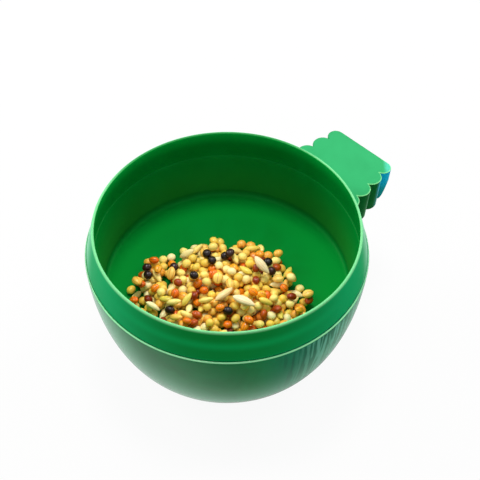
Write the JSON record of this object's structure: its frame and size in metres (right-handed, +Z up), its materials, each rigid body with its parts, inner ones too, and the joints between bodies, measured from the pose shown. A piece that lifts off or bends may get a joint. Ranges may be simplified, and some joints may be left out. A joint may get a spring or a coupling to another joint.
{
  "type": "seed cup",
  "caption": "Round plastic seed cup for a bird cage: a bowl with a bracket notched for the cage's wires, and a lift-out inner cup that holds mixed seed.",
  "frame": {"origin": "middle of the flat base that the bowl stands on, on the cup's axis", "axes": "+Z up along the cup's axis, +Y out along the middle of the cage bracket, +X to the right when looking along +Y"},
  "size_m": [0.083, 0.1022, 0.049],
  "materials": {
    "bowl_plastic": "glossy moulded green plastic",
    "bracket_plastic": "glossy moulded green plastic, lighter where light comes through it",
    "cup_plastic": "glossy moulded green plastic",
    "seed": "matte to satin husks of mixed bird seed"
  },
  "bodies": {
    "bowl": {"outer_bowl": "bowl_plastic", "cage_bracket": "bracket_plastic"},
    "cup": {"inner_cup": "cup_plastic"},
    "seed": {"seed_mix": "seed"}
  },
  "joints": [
    {"name": "cup_lift", "type": "slide", "parent": "bowl", "child": "cup", "axis": [0, 0, 1], "range_m": [0, 0.06]},
    {"name": "seed_lift", "type": "slide", "parent": "cup", "child": "seed", "axis": [0, 0, 1], "range_m": [0, 0.05]}
  ]
}
